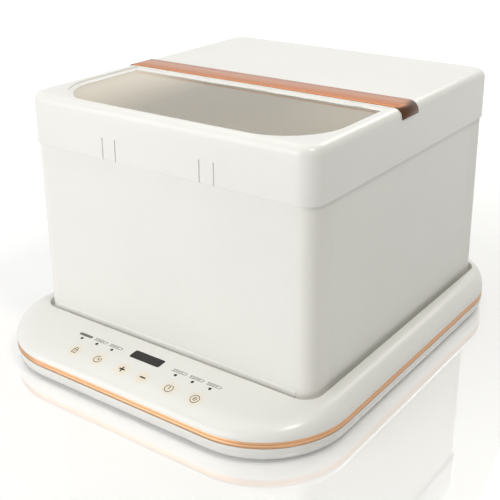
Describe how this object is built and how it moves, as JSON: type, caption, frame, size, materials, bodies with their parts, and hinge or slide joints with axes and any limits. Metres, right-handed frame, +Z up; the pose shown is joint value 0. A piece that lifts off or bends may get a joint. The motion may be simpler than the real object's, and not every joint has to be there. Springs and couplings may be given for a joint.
{
  "type": "folding dough proofer",
  "caption": "Heated base with a touch panel, four walls that fold down into its recess, and a deep lift-off lid with a window and a metal strap.",
  "frame": {"origin": "on the surface it stands on, under the middle of the base", "axes": "+X to the right and +Z up, seen from the front; the control panel faces -Y and the inlet +Y"},
  "size_m": [0.39, 0.467, 0.2742],
  "materials": {
    "ivory_shell": "high gloss injection moulding",
    "ivory_wall": "satin gloss injection moulding",
    "hinge_plastic": "fine matt moulding",
    "corner_silicone": "soft matt silicone",
    "gold_trim": "champagne gold anodised",
    "rose_gold_strap": "brushed rose gold anodised",
    "clear_window": "clear with a faint warm tint",
    "smoked_lens": "smoked gloss",
    "milky_lamp": "milky translucent",
    "rubber_black": "matt",
    "seal_rubber": "matt silicone",
    "plate_aluminium": "grey matt coated",
    "heater_foil": "amber polyimide film",
    "felt": "needled glass felt",
    "zinc_steel": "zinc plated",
    "screw_steel": "dark plated",
    "circuit_board": "solder resist",
    "component_black": "matt moulding",
    "component_white": "matt moulding",
    "transformer_yellow": "taped winding",
    "capacitor_sleeve": "shrink sleeve",
    "contact_brass": "bright plated",
    "lead_insulation": "silicone insulated lead"
  },
  "bodies": {
    "base": {"base_upper_shell": "ivory_shell", "base_lower_shell": "ivory_shell", "trim_band": "gold_trim", "rubber_feet": "rubber_black", "housing_screws": "screw_steel", "plate_gasket": "seal_rubber", "warming_plate": "plate_aluminium", "heater_film": "heater_foil", "heater_insulation": "felt", "heater_tray": "zinc_steel", "tray_screws": "screw_steel", "hinge_frame_screws": "screw_steel", "power_board_screws": "screw_steel", "control_board_screws": "screw_steel", "temperature_sensor": "component_white", "thermal_fuse": "contact_brass", "display_window": "smoked_lens", "indicator_light_pipes": "milky_lamp", "indicator_leds": "component_white", "touch_springs": "contact_brass", "display_module": "component_black", "control_board": "circuit_board", "buzzer": "component_black", "power_board": "circuit_board", "power_transformer": "transformer_yellow", "power_relay": "component_black", "terminal_block": "component_white", "power_capacitors": "capacitor_sleeve", "power_inlet": "component_black", "inlet_contacts": "contact_brass", "inlet_leads": "lead_insulation", "heater_leads": "lead_insulation", "sensor_leads": "lead_insulation", "ribbon_cable": "lead_insulation", "hinge_frame": "hinge_plastic", "left_hinge_pin": "zinc_steel", "right_hinge_pin": "zinc_steel", "back_hinge_pin": "zinc_steel", "front_hinge_pin": "zinc_steel"},
    "left_side": {"left_wall": "ivory_wall"},
    "right_side": {"right_wall": "ivory_wall"},
    "rear_side": {"back_wall": "ivory_wall", "back_corner_strips": "corner_silicone"},
    "front_side": {"front_wall": "ivory_wall", "front_corner_strips": "corner_silicone"},
    "lid": {"lid_shell": "ivory_shell", "window_gasket": "seal_rubber", "window_pane": "clear_window", "window_retainer": "hinge_plastic", "retainer_screws": "screw_steel", "lid_strap": "rose_gold_strap", "strap_push_nuts": "zinc_steel"}
  },
  "joints": [
    {"name": "left_fold", "type": "hinge", "parent": "base", "child": "left_side", "pos_m": [-0.1642, 0.0145, 0.0242], "axis": [0, 1, 0], "range_deg": [0, 90]},
    {"name": "right_fold", "type": "hinge", "parent": "base", "child": "right_side", "pos_m": [0.1642, 0.0145, 0.0284], "axis": [0, -1, 0], "range_deg": [0, 90]},
    {"name": "back_fold", "type": "hinge", "parent": "base", "child": "rear_side", "pos_m": [0, 0.1872, 0.0326], "axis": [1, 0, 0], "range_deg": [0, 90], "deforming": ["back_corner_strips"]},
    {"name": "front_fold", "type": "hinge", "parent": "base", "child": "front_side", "pos_m": [0, -0.1582, 0.0368], "axis": [-1, 0, 0], "range_deg": [0, 90], "deforming": ["front_corner_strips"]},
    {"name": "lid_lift", "type": "slide", "parent": "base", "child": "lid", "axis": [0, 0, 1], "range_m": [0, 0.12]}
  ]
}
